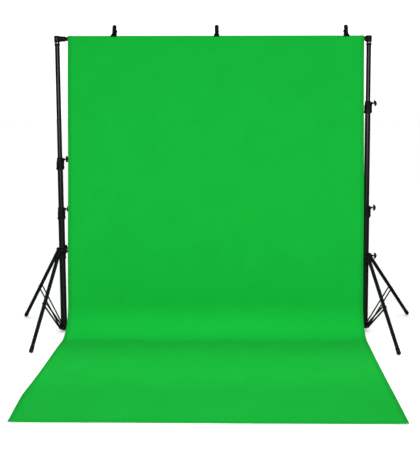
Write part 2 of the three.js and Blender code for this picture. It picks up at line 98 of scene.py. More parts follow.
FRONT_GRIP, REAR_GRIP = 15.2, 18.5  # from the clamp's middle to the back of each pad
FRONT_LUGS, REAR_LUGS = 7.5, 11.2  # inside of the pivot lugs
SPRING_R, SPRING_HALF, SPRING_WIRE, SPRING_TURNS = 4.6, 5.4, 0.8, 4.25
CLOTH_LEAN, CLOTH_FLAP, CLOTH_BEND = 0.9, 60.0, 180.0
CLOTH_SWEEP = 1359.0  # from the bar's axis to the cloth's front edge

# Small fittings.
SCREW_HEIGHT, SCREW_BOSS = 12.0, COLLAR_R + 3.4  # the collar's own screw and the end of its boss
KNOB_SCREW_R = 3.0
NUT_ACROSS, NUT_THICK, NUT_RECESS = 9.0, 2.2, 0.9
WING_R, WING_WAIST, WING_GRIPS = 22.5, 19.3, 21.2  # a knob's outer and inner edge and ridges


# ---- Shape helpers ---------------------------------------

def turn(axis, degrees):
    """A rotation about an axis."""
    return Matrix.Rotation(math.radians(degrees), 4, axis)


def shift(x=0.0, y=0.0, z=0.0):
    """A translation: metres to place a piece, millimetres within one."""
    return Matrix.Translation((x, y, z))


I = Matrix()  # leaves a shape as it is drawn
ALONG_X = turn("Y", 90)
ALONG_Y = turn("X", -90)


def outwards(side):
    """Turns a shape that stands on +Z to face +Y or -Y."""
    return turn("X", -90 * side)


def rounded(points, radius, steps=3, closed=False):
    """The polyline with its corners rounded."""
    pts = [Vector(p) for p in points]
    count = len(pts)
    out = []
    for i, p in enumerate(pts):
        if not closed and i in (0, count - 1):
            out.append(p)
            continue
        a, b = pts[i - 1] - p, pts[(i + 1) % count] - p
        reach = min(radius, 0.45 * a.length, 0.45 * b.length)
        start, end = p + a.normalized() * reach, p + b.normalized() * reach
        if a.length < 1e-6 or b.length < 1e-6 or a.angle(-b, 0) < 0.12:
            out.append(p)
            continue
        for k in range(steps + 1):
            t = k / steps
            out.append(start * (1 - t) ** 2 + p * 2 * t * (1 - t) + end * t ** 2)
    return [tuple(p) for p in out]


def lathe(profile, segments=48):
    """A surface of revolution about Z. The profile ends on the axis or closes on itself."""
    loop = (Vector(profile[0]) - Vector(profile[-1])).length < 1e-6
    points = profile[:-1] if loop else profile
    verts, rings, faces = [], [], []
    for r, z in points:
        first = len(verts)
        if r < 1e-6:
            verts.append((0.0, 0.0, z))
            rings.append([first] * segments)
        else:
            for k in range(segments):
                angle = 2 * math.pi * k / segments
                verts.append((r * math.cos(angle), r * math.sin(angle), z))
            rings.append(list(range(first, first + segments)))
    if loop:
        rings.append(rings[0])
    for low, high in zip(rings, rings[1:]):
        for k in range(segments):
            n = (k + 1) % segments
            face = []
            for v in (low[k], low[n], high[n], high[k]):
                if v not in face:
                    face.append(v)
            if len(face) > 2:
                faces.append(face)
    return verts, faces


def inset(outline, distance):
    """The closed outline moved inwards by the distance, corner by corner."""
    pts = [Vector(p) for p in outline]
    area = sum(a.x * b.y - b.x * a.y for a, b in zip(pts, pts[1:] + pts[:1]))
    sign = 1 if area > 0 else -1
    moved = []
    for i, p in enumerate(pts):
        before = (p - pts[i - 1]).normalized()
        after = (pts[(i + 1) % len(pts)] - p).normalized()
        n1 = Vector((-before.y, before.x)) * sign
        n2 = Vector((-after.y, after.x)) * sign
        middle = n1 + n2
        if middle.length < 1e-6:
            middle = n1
        middle.normalize()
        moved.append(p + middle * distance / max(middle.dot(n1), 0.5))
    return moved


def skin(rings, n):
    """The faces that join rings of n vertices one after another and close both ends."""
    faces = []
    for ring in range(rings - 1):
        for k in range(n):
            a, b = ring * n + k, ring * n + (k + 1) % n
            faces.append([a, b, b + n, a + n])
    last = (rings - 1) * n
    return [*faces, list(range(n)), list(range(last, last + n))]


def prism(outline, thickness, edge=0.8, centre=0.0):
    """A plate: an outline in the XZ plane with a thickness along Y and softened edges."""
    half = thickness / 2
    edge = min(edge, half * 0.8)
    layers = []
    for angle in (0, 45, 90):
        c = math.cos(math.radians(angle))
        s = math.sin(math.radians(angle))
        layers.append((-half + edge * (1 - c), edge * (1 - s)))
    layers += [(-y, d) for y, d in reversed(layers)]
    verts = []
    for y, distance in layers:
        verts += [(p.x, y + centre, p.y) for p in inset(outline, distance)]
    return verts, skin(len(layers), len(outline))


def sweep(path, section):
    """A closed section, given as (side, up) pairs, carried along a path and capped."""
    pts = [Vector(p) for p in path]
    verts, normal = [], None
    for i, p in enumerate(pts):
        tangent = (pts[min(i + 1, len(pts) - 1)] - pts[max(i - 1, 0)]).normalized()
        if normal is None:
            guide = Vector((0, 1, 0)) if abs(tangent.y) < 0.9 else Vector((1, 0, 0))
            normal = tangent.cross(guide).normalized()
        normal = (normal - tangent * normal.dot(tangent)).normalized()
        side = tangent.cross(normal)
        verts += [tuple(p + side * s + normal * u) for s, u in section]
    return verts, skin(len(pts), len(section))


def arc(radius, start, end, count, centre=0.0, rise=0.0):
    """Points on an arc between two angles in degrees, its centre at (centre, rise)."""
    angles = [math.radians(a) for a in np.linspace(start, end, count)]
    return [(centre + radius * math.cos(t), rise + radius * math.sin(t)) for t in angles]


def circle(radius):
    """A ten-sided section for a sweep."""
    steps = [2 * math.pi * k / 10 for k in range(10)]
    return [(radius * math.cos(t), radius * math.sin(t)) for t in steps]


def smooth_path(points, steps=6):
    """A Catmull-Rom curve through the points."""
    pts = [Vector(p) for p in points]
    pts = [2 * pts[0] - pts[1]] + pts + [2 * pts[-1] - pts[-2]]
    out = []
    for i in range(1, len(pts) - 2):
        a, b, c, d = pts[i - 1:i + 3]
        for k in range(steps):
            t = k / steps
            out.append(0.5 * (2 * b + (c - a) * t + (2 * a - 5 * b + 4 * c - d) * t ** 2
                              + (3 * b - a - 3 * c + d) * t ** 3))
    return out + [pts[-2]]


SHARP_ANGLE = 38  # degrees; edges beyond it stay sharp


def add_object(name, data):
    """A new object in the scene."""
    obj = bpy.data.objects.new(name, data)
    bpy.context.scene.collection.objects.link(obj)
    return obj


def piece(name, shapes, finish, body, place):
    """One mesh object from (shape, matrix) pairs. It rides on a body and takes a finish."""
    material, slot = finish
    bm = bmesh.new()
    for (verts, faces), matrix in shapes:
        made = [bm.verts.new(matrix @ Vector(v)) for v in verts]
        new = [bm.faces.new([made[i] for i in face]) for face in faces]
        bmesh.ops.recalc_face_normals(bm, faces=new)
    mesh = bpy.data.meshes.new(name)
    bmesh.ops.scale(bm, vec=(MM, MM, MM), verts=bm.verts)
    bm.to_mesh(mesh)
    bm.free()
    mesh.shade_smooth()
    mesh.set_sharp_from_angle(angle=math.radians(SHARP_ANGLE))
    obj = add_object(name, mesh)
    obj.matrix_world = place
    mesh.materials.append(material)
    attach(obj, body)
    return obj


def stand_in(node, shapes, finish, body, place):
    """A piece that is drawn in place of the CAD node it is named after."""
    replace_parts(piece(f"{node}_look", shapes, finish, body, place), node)


def dome(radius, height, z=0.0):
    """A rivet or pin head that stands on the plane z."""
    angles = np.linspace(0, math.pi / 2, 5)[:-1]
    crown = [(radius * math.cos(t), z + height * math.sin(t)) for t in angles]
    return lathe([(0, z - 0.6), (radius, z - 0.6), *crown, (0, z + height)], 24)


# ---- Materials -------------------------------------------

class Look:
    """A Principled material and the few node calls that the finishes share."""

    def __init__(self, name, colour, roughness, metallic=0.0, specular=0.5, **constants):
        self.material = bpy.data.materials.new(name)
        self.material.use_nodes = True
        self.tree = self.material.node_tree
        self.shader = self.tree.nodes["Principled BSDF"]
        self.shader.inputs["Base Color"].default_value = (*colour, 1)
        self.shader.inputs["Roughness"].default_value = roughness
        self.shader.inputs["Metallic"].default_value = metallic
        self.shader.inputs["Specular IOR Level"].default_value = specular
        for socket, value in constants.items():
            self.shader.inputs[socket.replace("_", " ")].default_value = value

    def node(self, kind, **settings):
        """A new node. Settings go to the inputs of that name, or else to properties."""
        made = self.tree.nodes.new(kind)
        for key, value in settings.items():
            if key in made.inputs:
                made.inputs[key].default_value = value
            else:
                setattr(made, key, value)
        return made

    def link(self, out, into):
        self.tree.links.new(out, into)

    def coordinates(self, scale=(1, 1, 1), source="Object"):
        coords = self.node("ShaderNodeTexCoord")
        mapping = self.node("ShaderNodeMapping", Scale=scale)
        self.link(coords.outputs[source], mapping.inputs["Vector"])
        return mapping.outputs["Vector"]

    def noise(self, scale, detail=4, stretch=(1, 1, 1), roughness=0.5, source="Object"):
        made = self.node("ShaderNodeTexNoise", Scale=scale, Detail=detail, Roughness=roughness)
        self.link(self.coordinates(stretch, source), made.inputs["Vector"])
        return made.outputs["Fac"]

    def ramp(self, value, low, high, start, end):
        """The value's range from low to high, mapped to the range from start to end."""
        settings = {"From Min": low, "From Max": high, "To Min": start, "To Max": end}
        made = self.node("ShaderNodeMapRange", **settings)
        self.link(value, made.inputs["Value"])
        return made.outputs["Result"]

    def mix(self, fac, a, b):
        """Two colours mixed, each a constant or a node's output."""
        made = self.node("ShaderNodeMix", data_type="RGBA")
        self.link(fac, made.inputs[0])
        for socket, value in ((made.inputs[6], a), (made.inputs[7], b)):
            if isinstance(value, tuple):
                socket.default_value = (*value, 1)
            else:
                self.link(value, socket)
        return made.outputs[2]

    def math(self, operation, a, b=None):
        """A math node, each value a constant or a node's output."""
        made = self.node("ShaderNodeMath", operation=operation)
        for socket, value in zip(made.inputs, (a, b)):
            if value is None:
                continue
            if isinstance(value, (int, float)):
                socket.default_value = value
            else:
                self.link(value, socket)
        return made.outputs[0]

    def colour(self, out):
        self.link(out, self.shader.inputs["Base Color"])

    def rough(self, out):
        self.link(out, self.shader.inputs["Roughness"])

    def bump(self, *layers):
        """Layers are (height, distance in metres, strength)."""
        normal = None
        for height, distance, strength in layers:
            made = self.node("ShaderNodeBump", Strength=strength, Distance=distance)
            self.link(height, made.inputs["Height"])
            if normal is not None:
                self.link(normal, made.inputs["Normal"])
            normal = made.outputs["Normal"]
        self.link(normal, self.shader.inputs["Normal"])


def anodised_tube():
    """Black anodised drawn aluminium: lengthwise draw lines, faint scuffs and handling marks."""
    look = Look("black_anodised", (0.0022, 0.0022, 0.0025), 0.3, 0.0, 0.5)
    lines = look.noise(900, 3, (1, 1, 0.012))
    cloudy = look.noise(14, 3)
    scuffs = look.noise(220, 6, (1, 1, 0.15), 0.7)
    marks = look.ramp(scuffs, 0.68, 0.78, 0, 1)
    base = look.mix(cloudy, (0.0028, 0.0028, 0.0032), (0.0058, 0.0058, 0.0062))
    look.colour(look.mix(marks, base, (0.022, 0.022, 0.023)))
    satin = look.ramp(lines, 0.3, 0.7, 0.26, 0.34)
    look.rough(look.math("ADD", satin, look.math("MULTIPLY", marks, 0.12)))
    look.bump((lines, 0.00003, 0.5), (marks, 0.00004, 0.3))
    return look.material


def moulded_plastic():
    """Glass-filled nylon: fine spark texture, slightly rubbed where hands reach."""
    look = Look("black_nylon", (0.004, 0.004, 0.004), 0.5, 0.0, 0.18)
    grain = look.noise(1400, 2)
    rubbed = look.noise(30, 4)
    worn = look.ramp(rubbed, 0.4, 0.75, 0, 1)
    look.colour(look.mix(worn, (0.0032, 0.0032, 0.0034), (0.0085, 0.0085, 0.009)))
    look.rough(look.ramp(rubbed, 0.3, 0.7, 0.56, 0.42))
    look.bump((grain, 0.00008, 0.5), (rubbed, 0.0002, 0.15))
    return look.material


def painted_strip():
    """Black enamel on steel strip, with orange peel and a few chips down to the metal."""
    look = Look("black_enamel", (0.004, 0.004, 0.0045), 0.38, 0.0, 0.2)
    peel = look.noise(520, 2)
    chips = look.ramp(look.noise(160, 5, roughness=0.65), 0.70, 0.73, 0, 1)
    base = look.mix(look.noise(25, 3), (0.003, 0.003, 0.0035), (0.007, 0.007, 0.0075))
    look.colour(look.mix(chips, base, (0.09, 0.088, 0.085)))
    gloss = look.ramp(peel, 0.3, 0.7, 0.33, 0.45)
    look.rough(look.math("ADD", gloss, look.math("MULTIPLY", chips, 0.15)))
    look.bump((peel, 0.00006, 0.4), (chips, -0.00005, 0.5))
    return look.material


def bright_metal(name, colour, roughness, lathe_lines):
    """Plated or turned metal, with fine tool lines and slight tarnish."""
    look = Look(name, colour, roughness, 1.0, 0.5)
    tool = look.noise(1100, 2, lathe_lines)
    tarnish = look.noise(120, 5)
    dull = tuple(c * 0.62 for c in colour)
    look.colour(look.mix(look.ramp(tarnish, 0.35, 0.8, 0, 1), colour, dull))
    look.rough(look.ramp(tool, 0.3, 0.7, roughness - 0.07, roughness + 0.1))
    look.bump((tool, 0.00004, 0.5))
    return look.material


def moulded_rubber():
    """Matt black rubber, dusty in patches from the floor."""
    look = Look("black_rubber", (0.005, 0.005, 0.005), 0.8, 0.0, 0.12)
    grain = look.noise(900, 3)
    dust = look.ramp(look.noise(70, 5, roughness=0.6), 0.5, 0.8, 0, 0.5)
    look.colour(look.mix(dust, (0.004, 0.004, 0.004), (0.030, 0.029, 0.0275)))
    look.rough(look.ramp(grain, 0.3, 0.7, 0.72, 0.88))
    look.bump((grain, 0.00012, 0.5))
    return look.material


HEM, HEM_FOLD, SEAM, SEAM_HALF = 0.022, 0.024, 0.0185, 0.0009  # metres in from the cloth's edge
THREADS, STITCHES = 1100, 260  # to the metre


def green_muslin():
    """Plain-weave cotton muslin: slubby threads and a turned, stitched hem on every edge."""
    look = Look("green_muslin", (0.003, 0.25, 0.022), 0.92, 0.0, 0.03, Sheen_Weight=0.015,
                Sheen_Roughness=0.5)
    look.shader.inputs["Sheen Tint"].default_value = (0.35, 0.9, 0.45, 1)
    uv = look.node("ShaderNodeUVMap", uv_map="metres")
    split = look.node("ShaderNodeSeparateXYZ")
    look.link(uv.outputs["UV"], split.inputs["Vector"])
    across, along = split.outputs["X"], split.outputs["Y"]
    warp, weft = (look.math("SINE", look.math("MULTIPLY", out, 2 * math.pi * THREADS))
                  for out in (across, along))
    weave = look.math("MULTIPLY", warp, weft)
    slub_warp = look.noise(1, 3, (900, 14, 1), source="UV")
    slub_weft = look.noise(1, 3, (14, 900, 1), source="UV")
    slub = look.math("ADD", slub_warp, slub_weft)
    cloudy = look.noise(1, 4, (5, 5, 1), source="UV")
    edge = look.node("ShaderNodeAttribute", attribute_name="hem_distance")
    hem = look.ramp(edge.outputs["Fac"], HEM - 0.0005, HEM + 0.0005, 1, 0)
    seam = look.math("COMPARE", edge.outputs["Fac"], SEAM)
    seam.node.inputs[2].default_value = SEAM_HALF
    beat = look.math("SINE", look.math("MULTIPLY", along, 2 * math.pi * STITCHES))
    dashes = look.math("GREATER_THAN", beat, -0.35)
    stitches = look.math("MULTIPLY", seam, dashes)
    clouds = look.ramp(cloudy, 0.3, 0.7, 0, 1)
    base = look.mix(clouds, (0.0030, 0.246, 0.0216), (0.0038, 0.270, 0.0246))
    thread = look.mix(look.ramp(slub, 0.75, 1.25, 0, 1), base, (0.0046, 0.288, 0.0272))
    hemmed = look.mix(look.math("MULTIPLY", hem, 0.55), thread, (0.0025, 0.20, 0.017))
    look.colour(look.mix(look.math("MULTIPLY", stitches, 0.7), hemmed, (0.012, 0.33, 0.05)))
    look.rough(look.ramp(slub, 0.75, 1.25, 0.88, 0.96))
    look.bump((weave, 0.00010, 0.35), (slub, 0.00012, 0.35), (hem, 0.0006, 0.6),
              (stitches, 0.0005, 0.6))
    return look.material


# Each finish is a material and a slot name.
ANODISED = anodised_tube(), "anodised"
NYLON = moulded_plastic(), "plastic"
ENAMEL = painted_strip(), "strip"
BRIGHT = bright_metal("turned_steel", (0.62, 0.62, 0.64), 0.30, (1, 1, 14)), "bright"
ZINC = bright_metal("zinc_plated_steel", (0.55, 0.56, 0.57), 0.36, (6, 6, 6)), "bright"
RUBBER = moulded_rubber(), "rubber"


# ---- Parts of a stand ------------------------------------

def tube(outer, wall, low, high, segments=64):
    """A cut length of tube with slightly broken edges."""
    inner = outer - wall
    c = min(0.3, wall / 3)
    return lathe([
        (inner, low + c), (inner + c, low), (outer - c, low), (outer, low + c), (outer, high - c),
        (outer - c, high), (inner + c, high), (inner, high - c), (inner, low + c),
    ], segments)


def screw_thread(radius, start, end, pitch=1.25):
    """A solid screw along Z with ridges for its thread."""
    profile = [(0, start), (radius - 0.5, start)]
    z = start + 0.6
    while z < end - pitch:
        profile += [(radius - 0.55, z), (radius, z + pitch * 0.5)]
        z += pitch
    profile += [(radius - 0.4, end), (0, end)]
    return lathe(profile, 20)


def hex_nut():
    """A nut whose axis is along Y."""
    corner = NUT_ACROSS / 2 / math.cos(math.pi / 6)
    angles = [math.pi / 3 * k + 0.3 for k in range(6)]
    outline = [(corner * math.cos(t), corner * math.sin(t)) for t in angles]
    return prism(outline, NUT_THICK, 0.5)


def cross_screw_head(radius, height):
    """A pan head with a shallow recess, standing on z = 0."""
    profile = [(0, -1), (radius, -1), (radius, height * 0.45), (radius * 0.72, height),
               (radius * 0.3, height), (radius * 0.22, height * 0.35), (0, height * 0.3)]
    return lathe(rounded(profile, 0.5), 24)


def knob_boss(root, end, radii, steps, soften):
    """The boss that a knob's screw runs in, along Z, with a recess for the nut in its face.

    It narrows from the first radius to the second, between two distances short of its end.
    """
    wide, narrow = radii
    return lathe(rounded([
        (0, root), (wide, root), (wide, end - steps[0]), (narrow, end - steps[1]), (narrow, end),
        (5, end), (4.6, end - 2.5), (0, end - 2.5)], soften), 32)


def collar_shapes(outer_r, inner_r):
    """A collar that grips the outer tube and guides the inner one, its two bosses along +X."""
    r, grip, top = COLLAR_R, COLLAR_GRIP, COLLAR_HEIGHT
    neck, root = inner_r + 4, outer_r + 0.4
    wide_bore, bore = outer_r + GAP, inner_r + SLIDE_GAP
    body = lathe(rounded([
        (wide_bore, 0), (r - 0.6, 0), (r, 2), (r, 12), (r - 1.5, 15), (r - 1.5, grip - 5),
        (r - 3, grip), (neck, top - 4), (neck - 1.5, top), (bore, top), (bore, grip + 2),
        (wide_bore, grip - 1), (wide_bore, 0)], 0.9), 64)
    boss = knob_boss(inner_r + 0.4, COLLAR_BOSS, (8.5, 8.0), (4, 3), 0.7)
    web = rounded([(root, 12), (r + 2.6, 14), (r + 3, 40), (r + 4.5, KNOB_HEIGHT - 6),
                   (root, KNOB_HEIGHT)], 1.5, 3, True)
    screw_boss = lathe(rounded([(0, root), (6, root), (6, SCREW_BOSS), (0, SCREW_BOSS)], 0.8), 24)
    shapes = [(body, I), (boss, shift(z=KNOB_HEIGHT) @ ALONG_X), (prism(web, 7, 1.0), I),
              (screw_boss, shift(z=SCREW_HEIGHT) @ ALONG_X)]
    rib = rounded([(r - 3, 3), (r + 0.35, 3.4), (r + 0.35, 11), (r - 3, 13)], 0.6, 2, True)
    for k in range(18):
        shapes.append((prism(rib, 2.2, 0.5), turn("Z", 30 + k * 300 / 17)))
    flank = rounded([(root, 20), (r - 0.6, 22), (r - 1.2, grip - 8), (root, grip - 4)],
                    1.5, 3, True)
    for side in (-1, 1):
        shapes.append((prism(flank, 3.0, 0.8), turn("Z", 90 * side)))
    return shapes


def knob_shapes(boss):
    """The wing and its shank, beyond a boss that ends this far along +X."""
    profile = [(0, 1.3), (6.2, 1.3), (6.2, 3.2), (4.4, 5), (4.0, 9), (5.4, 15), (5.4, 21), (0, 21)]
    shank = lathe(rounded([(r, boss + x) for r, x in profile], 0.8), 28)
    outline = arc(WING_R, -62, 62, 17, boss + 5) + arc(WING_WAIST, 58, -58, 15, boss - 1)
    wing = prism(rounded(outline, 1.6, 2, True), 9, 2.0)
    ridge = lathe(rounded([(0, -4.9), (0.9, -4.7), (0.9, 4.7), (0, 4.9)], 0.3, 2), 10)
    spots = arc(WING_GRIPS, -46, -30, 3, boss + 5) + arc(WING_GRIPS, 30, 46, 3, boss + 5)
    return [(shank, ALONG_X), (wing, I), *((ridge, shift(x, 0, z) @ ALONG_Y) for x, z in spots)]


def yoke_shapes():
    """The casting that the legs hang from: a sleeve, three pairs of ears and a knob's boss."""
    low, high, r, pivot = YOKE_LOW, YOKE_HIGH, YOKE_R, PIVOT_RADIUS
    bore = LOWER_TUBE[0] + SLIDE_GAP
    sleeve = lathe(rounded([
        (bore, low), (r, low), (r + 1.5, low + 1.5), (r + 1.5, low + 12), (r, low + 15),
        (r, low + 34), (r - 0.6, low + 35), (r - 0.6, low + 37), (r, low + 38), (r, high - 2),
        (r - 1.5, high), (bore, high), (bore, low)], 0.8), 64)
    ear = rounded([(15.5, -24), (24, -22), (pivot + 7, -8), (pivot + 9, 0), (pivot + 6, 7),
                   (15.5, 10)], 6, 5, True)
    rim = rounded([(16, -30), (22.3, -27), (22.3, 10), (16, 11)], 1, 2, True)
    pad = lathe(rounded([(0, 0), (5.6, 0), (5.6, 0.9), (0, 0.9)], 0.3, 2), 24)
    shapes = [(sleeve, I)]
    for azimuth in ARMS:
        place = turn("Z", azimuth)
        for side in (-1, 1):
            middle = side * (EAR_IN + EAR_OUT) / 2
            shapes += [
                (prism(ear, EAR_OUT - EAR_IN, 1.0, middle), place),
                (prism(rim, 6.2, 1.2, side * (EAR_OUT - 2.2)), place),
                (pad, place @ shift(pivot, side * (EAR_OUT - 0.7), 0) @ outwards(side))]
    boss = knob_boss(bore, YOKE_BOSS, (9, 8.2), (6, 4), 0.8)
    gusset = rounded([(bore, -26), (r, -24), (YOKE_BOSS - 8, -7), (YOKE_BOSS - 8, 0), (bore, 0)],
                     1, 3, True)
    knob_side = turn("Z", YOKE_KNOB)
    return [*shapes, (boss, knob_side @ ALONG_X), (prism(gusset, 4, 1.2), knob_side)]


def hub_shapes():
    """The casting at the column's foot: a closed sleeve with three lugs for the braces."""
    low, high, r, pivot = HUB_LOW, HUB_HIGH, HUB_R, PIVOT_RADIUS
    bore = LOWER_TUBE[0] + GAP
    sleeve = lathe(rounded([
        (0, low + 0.6), (9, low + 0.2), (11, low), (r - 2, low), (r, low + 2), (r, low + 8),
        (r - 0.7, low + 9), (r - 0.7, low + 11), (r, low + 12), (r, high - 2), (r - 1.5, high),
        (bore, high), (bore, low + 5), (0, low + 5)], 0.8), 64)
    cheek = rounded([(18.3, -15), (26, -14), (pivot + 6, -6), (pivot + 7, 0), (pivot + 5, 6),
                     (26, 12), (18.3, 14)], 3, 4, True)
    core = rounded([(bore, -9), (24, -9), (pivot + 2, -4), (pivot + 2, 4), (24, 8), (bore, 9)],
                   2, 3, True)
    shapes = [(sleeve, I)]
    for azimuth in ARMS:
        place = turn("Z", azimuth)
        for side in (-1, 1):
            shapes.append((prism(cheek, 4.5, 0.9, side * (LEG_R - 2.3)), place))
        shapes.append((prism(core, 16, 0.8), place))
    return shapes


def leg_shapes():
    """A leg hangs from its pivot along -Z, its rivet along Y."""
    plug = lathe(rounded([
        (0, -20), (LEG_R - 0.1, -20), (LEG_R - 0.1, -15), (LEG_R, -14.5), (LEG_R, -9),
        (LEG_R - 1, -7), (0, -7)], 0.5), 48)
    head = rounded([*arc(10.6, 0, 180, 13), (-10.6, -13), (10.6, -13)], 1.0, 2, True)
    return [(tube(LEG_R, LEG_WALL, -LEG_LENGTH + 1.5, -14, 48), I), (plug, I),
            (prism(head, 2 * LEG_R, 1.2), I)]


def leg_rivet_shapes():
    """The ends of the rivet through the yoke's ears, each a washer and a head."""
    under, top = EAR_OUT + 0.3, EAR_OUT + 1.1
    washer = lathe(rounded([(0, under), (5.5, under), (5.5, top), (0, top)], 0.2, 2), 28)
    shapes = []
    for side in (-1, 1):
        shapes += [(washer, outwards(side)), (dome(3.6, 1.2, top), outwards(side))]
    return shapes


def foot_shapes():
    """A blunt rubber foot, drawn about the centre of the CAD foot's ball, its sleeve along +Z."""
    r, bore = FOOT_R - 0.7, LEG_R + 0.3
    profile = rounded([(0, -9.1), (9.2, -8.9), (r, -4.0), (r, 5)], 2.0)
    for z in (8, 13, 18, 23):
        profile += [(r, z - 1.2), (r - 0.4, z - 0.5), (r - 0.4, z + 0.5), (r, z + 1.2)]
    profile += [(r - 0.2, 27.4), (r - 0.6, 28), (bore, 28), (bore, 1.2), (0, 1.2)]
    return [(lathe(profile, 40), I)]


def brace_shapes():
    """Two strips, rising from the hub's pivot along +Z, with a pressed bead down each."""
    inner = LEG_R + STRIP_GAP
    half = STRIP_WIDE / 2
    outline = [*arc(half + 1.5, 180, 360, 11), (half, 18),
               *arc(half, 0, 180, 11, rise=BRACE_LENGTH), (-half, 18)]
    bead_end = BRACE_LENGTH - 26
    bead = rounded([(-1.8, 30), (1.8, 30), (1.8, bead_end), (-1.8, bead_end)], 1.7, 4, True)
    shapes = []
    for side in (-1, 1):
        middle, face = side * (inner + STRIP_THICK / 2), side * (inner + STRIP_THICK + 0.25)
        shapes += [(prism(outline, STRIP_THICK, 0.5, middle), I), (prism(bead, 1.0, 0.45, face), I)]
    return shapes


def brace_rivet_shapes():
    """Rivet heads at both ends of the two strips, with the pin that crosses the hub's arm."""
    face = LEG_R + STRIP_GAP + STRIP_THICK
    low, high = face - 0.1, face + 0.5
    ring = lathe(rounded([(0, low), (6.0, low), (6.0, high), (0, high)], 0.2, 2), 28)
    shapes = [(lathe([(0, -face), (3, -face), (3, face), (0, face)], 20), ALONG_Y)]
    for side in (-1, 1):
        for z in (0, BRACE_LENGTH):
            place = shift(z=z) @ outwards(side)
            shapes += [(dome(5.0, 1.6, face + 0.1), place), (ring, place)]
    return shapes


def spigot_shapes():
    """A turned stud along Z, from inside the top tube to its rounded tip."""
    return [(lathe(rounded([
        (0, -24), (11.0, -24), (11.0, 0.3), (13, 0.3), (13, 5), (12, 6), (8, 6), (8, 20),
        (7.2, 21), (7.2, 26), (8, 27), (8, 38), (6.5, 41), (0, 41)], 0.4), 40), I)]


def build_tubes(side, at):
    """The three tubes, the ferrule and the spigot, placed by at(height)."""
    def span(node):
        low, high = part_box(node)
        return low.z / MM, high.z / MM

    middle, top = f"{side}_middle_section", f"{side}_top_section"
    for node, (r, wall), body in ((f"{side}_lower_tube", LOWER_TUBE, "base"),
                                  (f"{side}_middle_tube", MIDDLE_TUBE, middle)):
        stand_in(node, [(tube(r, wall, *span(node)), I)], ANODISED, body, at(0))
    low, high = span(f"{side}_top_tube")
    r, wall = TOP_TUBE
    ferrule = lathe(rounded([
        (r + 0.05, high - 15), (r + 1, high - 14), (r + 2, high - 12.5), (r + 2, high - 1.5),
        (r + 1, high - 0.1), (r + 0.05, high - 0.1), (r + 0.05, high - 15)], 0.5), 64)
    stand_in(f"{side}_top_tube", [(tube(r, wall, low, high), I)], ANODISED, top, at(0))
    piece(f"{side}_ferrule", [(ferrule, I)], NYLON, top, at(0))
    stand_in(f"{side}_spigot", spigot_shapes(), BRIGHT, top, at(high * MM))


def build_knob(side, where, boss, tip, place):
    """A wing knob with its screw, which reaches in to the tip."""
    knob = f"{side}_{where}_knob"
    screw = (screw_thread(KNOB_SCREW_R, tip, boss + 3), ALONG_X)
    stand_in(knob, knob_shapes(boss), NYLON, knob, place)
    piece(f"{knob}_screw", [screw], ZINC, knob, place)


def build_collar(side, where, body, place, fixed, sliding, wing):
    """A collar with its screw, its nut and its knob, the knob turned by the wing's angle."""
    collar = f"{side}_{where}_collar"
    screw_place = shift(z=SCREW_HEIGHT) @ ALONG_X @ shift(z=SCREW_BOSS)
    nut_place = shift(COLLAR_BOSS - NUT_RECESS, 0, KNOB_HEIGHT) @ turn("Z", 90)
    stand_in(collar, collar_shapes(fixed[0], sliding[0]), NYLON, body, place)
    piece(f"{collar}_screw", [(cross_screw_head(3.4, 1.6), screw_place)], ZINC, body, place)
    piece(f"{collar}_nut", [(hex_nut(), nut_place)], ZINC, body, place)
    build_knob(side, where, COLLAR_BOSS, sliding[0] + 1.0,
               place @ shift(z=KNOB_HEIGHT * MM) @ turn("X", wing))


def build_yoke(side, place):
    """The leg yoke with its nut and its knob."""
    yoke, knob_side = f"{side}_leg_yoke", turn("Z", YOKE_KNOB)
    nut_place = knob_side @ shift(YOKE_BOSS - NUT_RECESS, 0, 0) @ turn("Z", 90)
    stand_in(yoke, yoke_shapes(), NYLON, f"{side}_yoke", place)
    piece(f"{side}_yoke_nut", [(hex_nut(), nut_place)], ZINC, f"{side}_yoke", place)
    build_knob(side, "yoke", YOKE_BOSS, LOWER_TUBE[0] + 1, place @ knob_side)


def build_arm(side, arm, azimuth):
    """A leg with its rivet and foot, and its brace with its rivets, standing spread."""
    leg, foot, brace = f"{side}_{arm}_leg", f"{side}_{arm}_foot", f"{side}_{arm}_brace"
    leg_joint, brace_joint = JOINTS[f"{leg}_hinge"], JOINTS[f"{brace}_hinge"]
    folded_sine = LEG_TO_BRACE * math.sin(math.radians(FOLDED_LEG)) / BRACE_LENGTH
    leg_angle = leg_joint["range_deg"][1] + FOLDED_LEG
    brace_angle = -brace_joint["range_deg"][0] + math.degrees(math.asin(folded_sine))
    leg_place = shift(*leg_joint["pos_m"]) @ turn("Z", azimuth) @ turn("Y", -leg_angle)
    brace_place = shift(*brace_joint["pos_m"]) @ turn("Z", azimuth) @ turn("Y", brace_angle)
    foot_place = leg_place @ shift(z=-LEG_LENGTH * MM)
    stand_in(leg, leg_shapes(), ANODISED, leg, leg_place)
    piece(f"{leg}_rivet", leg_rivet_shapes(), ZINC, leg, leg_place)
    stand_in(foot, foot_shapes(), RUBBER, leg, foot_place)
    stand_in(brace, brace_shapes(), ENAMEL, brace, brace_place)
    piece(f"{brace}_rivets", brace_rivet_shapes(), ZINC, brace, brace_place)


